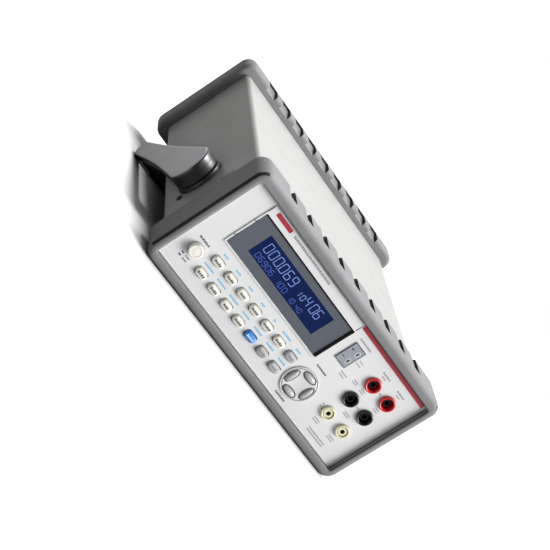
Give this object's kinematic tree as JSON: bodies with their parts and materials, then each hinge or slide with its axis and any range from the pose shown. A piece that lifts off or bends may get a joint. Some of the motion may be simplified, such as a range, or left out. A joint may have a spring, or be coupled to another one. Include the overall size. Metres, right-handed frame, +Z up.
{
  "type": "bench multimeter",
  "caption": "Bench multimeter in a half-rack case with soft bumpers, a turning carry handle, push keys, a blue display and test-lead terminals.",
  "frame": {"origin": "middle of the footprint, on the bench that the meter stands on: it rests on the lower edge of the front bumper and on the stowed handle, which tilts it 3.2 degrees nose down", "axes": "+X to the right seen from the front, +Y from the front to the rear, +Z up from the bench"},
  "size_m": [0.2528, 0.31, 0.1233],
  "materials": {
    "case_plastic": "fine-textured moulding, light warm grey",
    "bumper_rubber": "soft textured elastomer, mid grey",
    "panel_plastic": "satin near-white moulding with printed marks",
    "window_tint": "glossy tinted window",
    "display_blue": "dark blue backlit display with pale characters",
    "accent_red": "red inlaid strip",
    "silicone_grey": "silicone keypad mat",
    "pad_silver": "satin silver-grey pad",
    "key_cream": "satin off-white key",
    "key_grey": "satin grey key",
    "key_blue": "glossy blue key",
    "terminal_red": "glossy red insulator",
    "terminal_black": "glossy black insulator",
    "terminal_cream": "glossy cream insulator",
    "contact_brass": "plated contact",
    "socket_grey": "blue-grey socket",
    "chassis_aluminium": "mill finish sheet",
    "circuit_board": "green laminate",
    "core_steel": "laminated core",
    "coil_copper": "enamelled winding under tape",
    "rear_aluminium": "painted light grey plate",
    "inlet_black": "black moulding",
    "plated_metal": "nickel plate",
    "screw_steel": "zinc-plated screw",
    "handle_dark": "dark grey moulding",
    "handle_silver": "satin silver-grey moulding",
    "fuse_glass": "glass cartridge"
  },
  "bodies": {
    "root": {"case_sleeve": "case_plastic", "front_bumper": "bumper_rubber", "rear_bumper": "bumper_rubber", "front_bezel": "panel_plastic", "display_surround": "panel_plastic", "display_window": "window_tint", "display_module": "display_blue", "accent_strip": "accent_red", "keypad_mat": "silicone_grey", "nav_ring": "pad_silver", "jack_sense_hi": "terminal_red", "jack_sense_lo": "terminal_black", "jack_input_hi": "terminal_red", "jack_input_lo": "terminal_black", "jack_current_low": "terminal_cream", "jack_current_high": "terminal_cream", "jack_contacts": "contact_brass", "tc_socket": "socket_grey", "tc_contacts": "contact_brass", "chassis_tray": "chassis_aluminium", "main_board": "circuit_board", "front_board": "circuit_board", "transformer_core": "core_steel", "transformer_coil": "coil_copper", "analog_shield": "chassis_aluminium", "rear_panel": "rear_aluminium", "mains_inlet": "inlet_black", "inlet_pins": "plated_metal", "usb_port": "plated_metal", "trigger_connectors": "plated_metal", "interface_cover": "rear_aluminium", "rear_screws": "screw_steel", "pivot_base_left": "handle_dark", "pivot_base_right": "handle_dark", "pivot_bolts": "screw_steel", "power_switch": "inlet_black"},
    "handle": {"handle_arm_left": "handle_silver", "handle_arm_right": "handle_silver", "handle_grip": "handle_dark"},
    "fuse_drawer": {"fuse_drawer": "inlet_black", "mains_fuse": "fuse_glass"},
    "power_button": {"power_button": "key_cream"},
    "upper_key_1": {"upper_key_1": "key_cream"},
    "upper_key_2": {"upper_key_2": "key_cream"},
    "upper_key_3": {"upper_key_3": "key_cream"},
    "upper_key_4": {"upper_key_4": "key_cream"},
    "upper_key_5": {"upper_key_5": "key_cream"},
    "upper_key_6": {"upper_key_6": "key_cream"},
    "upper_key_7": {"upper_key_7": "key_grey"},
    "lower_key_1": {"lower_key_1": "key_cream"},
    "lower_key_2": {"lower_key_2": "key_cream"},
    "lower_key_3": {"lower_key_3": "key_cream"},
    "lower_key_4": {"lower_key_4": "key_cream"},
    "lower_key_5": {"lower_key_5": "key_blue"},
    "lower_key_6": {"lower_key_6": "key_grey"},
    "lower_key_7": {"lower_key_7": "key_grey"},
    "nav_key_up": {"nav_key_up": "key_grey"},
    "nav_key_down": {"nav_key_down": "key_grey"},
    "nav_key_left": {"nav_key_left": "key_grey"},
    "nav_key_right": {"nav_key_right": "key_grey"}
  },
  "joints": [
    {"name": "handle_pivot", "type": "hinge", "parent": "root", "child": "handle", "pos_m": [0, -0.05495, 0.05008], "axis": [-1, 0, 0], "range_deg": [0, 300]},
    {"name": "power_button_press", "type": "slide", "parent": "root", "child": "power_button", "axis": [0, 0.9985, 0.0553], "range_m": [0, 0.003], "stiffness_N_per_m": 400, "springref_m": -0.001},
    {"name": "upper_key_1_press", "type": "slide", "parent": "root", "child": "upper_key_1", "axis": [0, 0.9985, 0.0553], "range_m": [0, 0.001], "stiffness_N_per_m": 300, "springref_m": -0.001},
    {"name": "upper_key_2_press", "type": "slide", "parent": "root", "child": "upper_key_2", "axis": [0, 0.9985, 0.0553], "range_m": [0, 0.001], "stiffness_N_per_m": 300, "springref_m": -0.001},
    {"name": "upper_key_3_press", "type": "slide", "parent": "root", "child": "upper_key_3", "axis": [0, 0.9985, 0.0553], "range_m": [0, 0.001], "stiffness_N_per_m": 300, "springref_m": -0.001},
    {"name": "upper_key_4_press", "type": "slide", "parent": "root", "child": "upper_key_4", "axis": [0, 0.9985, 0.0553], "range_m": [0, 0.001], "stiffness_N_per_m": 300, "springref_m": -0.001},
    {"name": "upper_key_5_press", "type": "slide", "parent": "root", "child": "upper_key_5", "axis": [0, 0.9985, 0.0553], "range_m": [0, 0.001], "stiffness_N_per_m": 300, "springref_m": -0.001},
    {"name": "upper_key_6_press", "type": "slide", "parent": "root", "child": "upper_key_6", "axis": [0, 0.9985, 0.0553], "range_m": [0, 0.001], "stiffness_N_per_m": 300, "springref_m": -0.001},
    {"name": "upper_key_7_press", "type": "slide", "parent": "root", "child": "upper_key_7", "axis": [0, 0.9985, 0.0553], "range_m": [0, 0.001], "stiffness_N_per_m": 300, "springref_m": -0.001},
    {"name": "lower_key_1_press", "type": "slide", "parent": "root", "child": "lower_key_1", "axis": [0, 0.9985, 0.0553], "range_m": [0, 0.001], "stiffness_N_per_m": 300, "springref_m": -0.001},
    {"name": "lower_key_2_press", "type": "slide", "parent": "root", "child": "lower_key_2", "axis": [0, 0.9985, 0.0553], "range_m": [0, 0.001], "stiffness_N_per_m": 300, "springref_m": -0.001},
    {"name": "lower_key_3_press", "type": "slide", "parent": "root", "child": "lower_key_3", "axis": [0, 0.9985, 0.0553], "range_m": [0, 0.001], "stiffness_N_per_m": 300, "springref_m": -0.001},
    {"name": "lower_key_4_press", "type": "slide", "parent": "root", "child": "lower_key_4", "axis": [0, 0.9985, 0.0553], "range_m": [0, 0.001], "stiffness_N_per_m": 300, "springref_m": -0.001},
    {"name": "lower_key_5_press", "type": "slide", "parent": "root", "child": "lower_key_5", "axis": [0, 0.9985, 0.0553], "range_m": [0, 0.001], "stiffness_N_per_m": 300, "springref_m": -0.001},
    {"name": "lower_key_6_press", "type": "slide", "parent": "root", "child": "lower_key_6", "axis": [0, 0.9985, 0.0553], "range_m": [0, 0.001], "stiffness_N_per_m": 300, "springref_m": -0.001},
    {"name": "lower_key_7_press", "type": "slide", "parent": "root", "child": "lower_key_7", "axis": [0, 0.9985, 0.0553], "range_m": [0, 0.001], "stiffness_N_per_m": 300, "springref_m": -0.001},
    {"name": "nav_key_up_press", "type": "slide", "parent": "root", "child": "nav_key_up", "axis": [0, 0.9985, 0.0553], "range_m": [0, 0.001], "stiffness_N_per_m": 300, "springref_m": -0.001},
    {"name": "nav_key_down_press", "type": "slide", "parent": "root", "child": "nav_key_down", "axis": [0, 0.9985, 0.0553], "range_m": [0, 0.001], "stiffness_N_per_m": 300, "springref_m": -0.001},
    {"name": "nav_key_left_press", "type": "slide", "parent": "root", "child": "nav_key_left", "axis": [0, 0.9985, 0.0553], "range_m": [0, 0.001], "stiffness_N_per_m": 300, "springref_m": -0.001},
    {"name": "nav_key_right_press", "type": "slide", "parent": "root", "child": "nav_key_right", "axis": [0, 0.9985, 0.0553], "range_m": [0, 0.001], "stiffness_N_per_m": 300, "springref_m": -0.001},
    {"name": "fuse_drawer_slide", "type": "slide", "parent": "root", "child": "fuse_drawer", "axis": [0, 0.9985, 0.0553], "range_m": [0, 0.022]}
  ]
}
